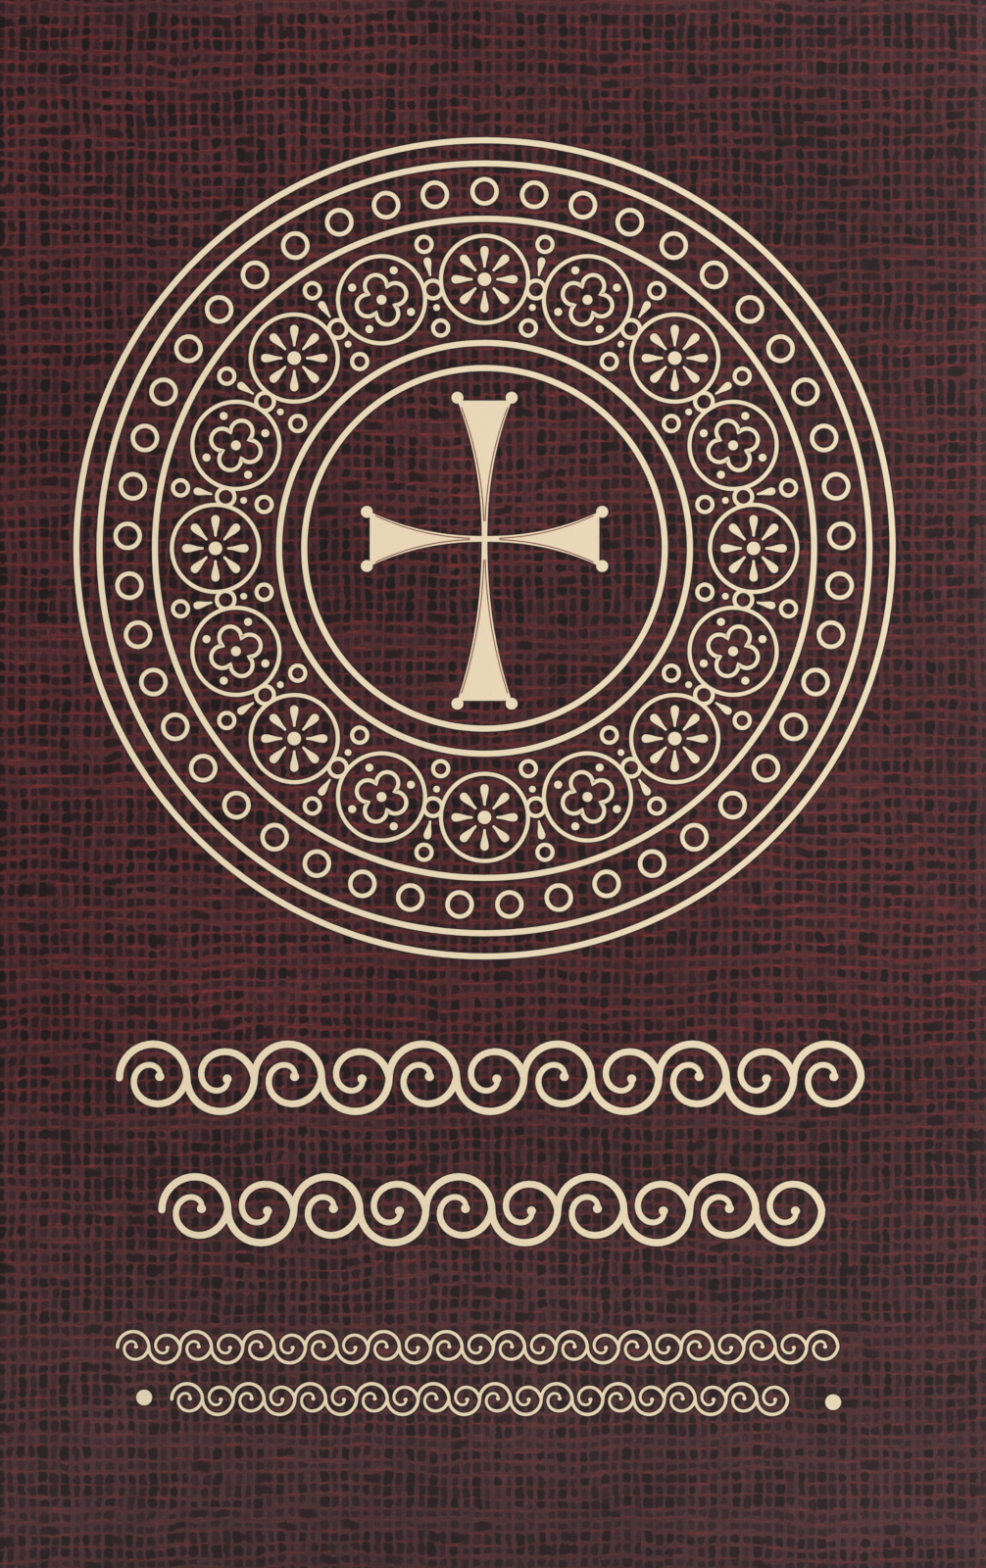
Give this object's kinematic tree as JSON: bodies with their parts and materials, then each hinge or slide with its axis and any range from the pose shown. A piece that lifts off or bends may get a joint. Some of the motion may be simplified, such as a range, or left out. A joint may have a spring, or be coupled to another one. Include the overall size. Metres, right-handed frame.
{
  "type": "prayer book",
  "caption": "Small soft-cover prayer book with a sewn page block in a laminated wrap-round card cover that opens at the spine edges and in the middle.",
  "frame": {"origin": "centre of the foot of the closed book, standing on its tail edge", "axes": "+X from the spine to the fore-edge, +Y from the front cover to the back cover, +Z from the tail to the head"},
  "size_m": [0.126, 0.0206, 0.2],
  "materials": {
    "printed_card": "semi-matt laminate over a coarse cloth print with a cream line ornament",
    "page_paper": "uncoated cream",
    "lining_paper": "uncoated, stiff",
    "dry_glue": "dried, slightly glossy",
    "linen_thread": "waxed"
  },
  "bodies": {
    "spine_back": {"spine_cover_back_half": "printed_card", "spine_lining_back_half": "lining_paper", "spine_glue_back_half": "dry_glue", "section_12": "page_paper", "sewing_thread_12": "linen_thread"},
    "spine_front": {"spine_cover_front_half": "printed_card", "spine_lining_front_half": "lining_paper", "spine_glue_front_half": "dry_glue", "section_01": "page_paper", "sewing_thread_01": "linen_thread"},
    "front_cover": {"front_cover_panel": "printed_card"},
    "back_cover": {"back_cover_panel": "printed_card"},
    "leaves_02": {"section_02": "page_paper", "sewing_thread_02": "linen_thread"},
    "leaves_03": {"section_03": "page_paper", "sewing_thread_03": "linen_thread"},
    "leaves_04": {"section_04": "page_paper", "sewing_thread_04": "linen_thread"},
    "leaves_05": {"section_05": "page_paper", "sewing_thread_05": "linen_thread"},
    "leaves_06": {"section_06": "page_paper", "sewing_thread_06": "linen_thread"},
    "leaves_07": {"section_07": "page_paper", "sewing_thread_07": "linen_thread"},
    "leaves_08": {"section_08": "page_paper", "sewing_thread_08": "linen_thread"},
    "leaves_09": {"section_09": "page_paper", "sewing_thread_09": "linen_thread"},
    "leaves_10": {"section_10": "page_paper", "sewing_thread_10": "linen_thread"},
    "leaves_11": {"section_11": "page_paper", "sewing_thread_11": "linen_thread"}
  },
  "joints": [
    {"name": "block_opening", "type": "hinge", "parent": "spine_back", "child": "spine_front", "pos_m": [-0.063, 0, 0], "axis": [0, 0, -1], "range_deg": [0, 170]},
    {"name": "front_cover_hinge", "type": "hinge", "parent": "spine_front", "child": "front_cover", "pos_m": [-0.063, -0.01033, 0], "axis": [0, 0, -1], "range_deg": [0, 175]},
    {"name": "back_cover_hinge", "type": "hinge", "parent": "spine_back", "child": "back_cover", "pos_m": [-0.063, 0.01033, 0], "axis": [0, 0, 1], "range_deg": [0, 175]},
    {"name": "section_fan_02", "type": "hinge", "parent": "spine_front", "child": "leaves_02", "pos_m": [-0.0612, -0.00747, 0], "axis": [0, 0, 1], "range_deg": [0, 2]},
    {"name": "section_fan_03", "type": "hinge", "parent": "spine_front", "child": "leaves_03", "pos_m": [-0.0612, -0.00581, 0], "axis": [0, 0, 1], "range_deg": [0, 3.8]},
    {"name": "section_fan_04", "type": "hinge", "parent": "spine_front", "child": "leaves_04", "pos_m": [-0.0612, -0.00415, 0], "axis": [0, 0, 1], "range_deg": [0, 5.6]},
    {"name": "section_fan_05", "type": "hinge", "parent": "spine_front", "child": "leaves_05", "pos_m": [-0.0612, -0.00249, 0], "axis": [0, 0, 1], "range_deg": [0, 7.4]},
    {"name": "section_fan_06", "type": "hinge", "parent": "spine_front", "child": "leaves_06", "pos_m": [-0.0612, -0.00083, 0], "axis": [0, 0, 1], "range_deg": [0, 9.2]},
    {"name": "section_fan_07", "type": "hinge", "parent": "spine_back", "child": "leaves_07", "pos_m": [-0.0612, 0.00083, 0], "axis": [0, 0, -1], "range_deg": [0, 9.2]},
    {"name": "section_fan_08", "type": "hinge", "parent": "spine_back", "child": "leaves_08", "pos_m": [-0.0612, 0.00249, 0], "axis": [0, 0, -1], "range_deg": [0, 7.4]},
    {"name": "section_fan_09", "type": "hinge", "parent": "spine_back", "child": "leaves_09", "pos_m": [-0.0612, 0.00415, 0], "axis": [0, 0, -1], "range_deg": [0, 5.6]},
    {"name": "section_fan_10", "type": "hinge", "parent": "spine_back", "child": "leaves_10", "pos_m": [-0.0612, 0.00581, 0], "axis": [0, 0, -1], "range_deg": [0, 3.8]},
    {"name": "section_fan_11", "type": "hinge", "parent": "spine_back", "child": "leaves_11", "pos_m": [-0.0612, 0.00747, 0], "axis": [0, 0, -1], "range_deg": [0, 2]}
  ],
  "couplings": [
    {"joint": "section_fan_02", "follows": "block_opening", "ratio": 0.010588},
    {"joint": "section_fan_03", "follows": "block_opening", "ratio": 0.021176},
    {"joint": "section_fan_04", "follows": "block_opening", "ratio": 0.031765},
    {"joint": "section_fan_05", "follows": "block_opening", "ratio": 0.042353},
    {"joint": "section_fan_06", "follows": "block_opening", "ratio": 0.052941},
    {"joint": "section_fan_07", "follows": "block_opening", "ratio": 0.052941},
    {"joint": "section_fan_08", "follows": "block_opening", "ratio": 0.042353},
    {"joint": "section_fan_09", "follows": "block_opening", "ratio": 0.031765},
    {"joint": "section_fan_10", "follows": "block_opening", "ratio": 0.021176},
    {"joint": "section_fan_11", "follows": "block_opening", "ratio": 0.010588}
  ]
}
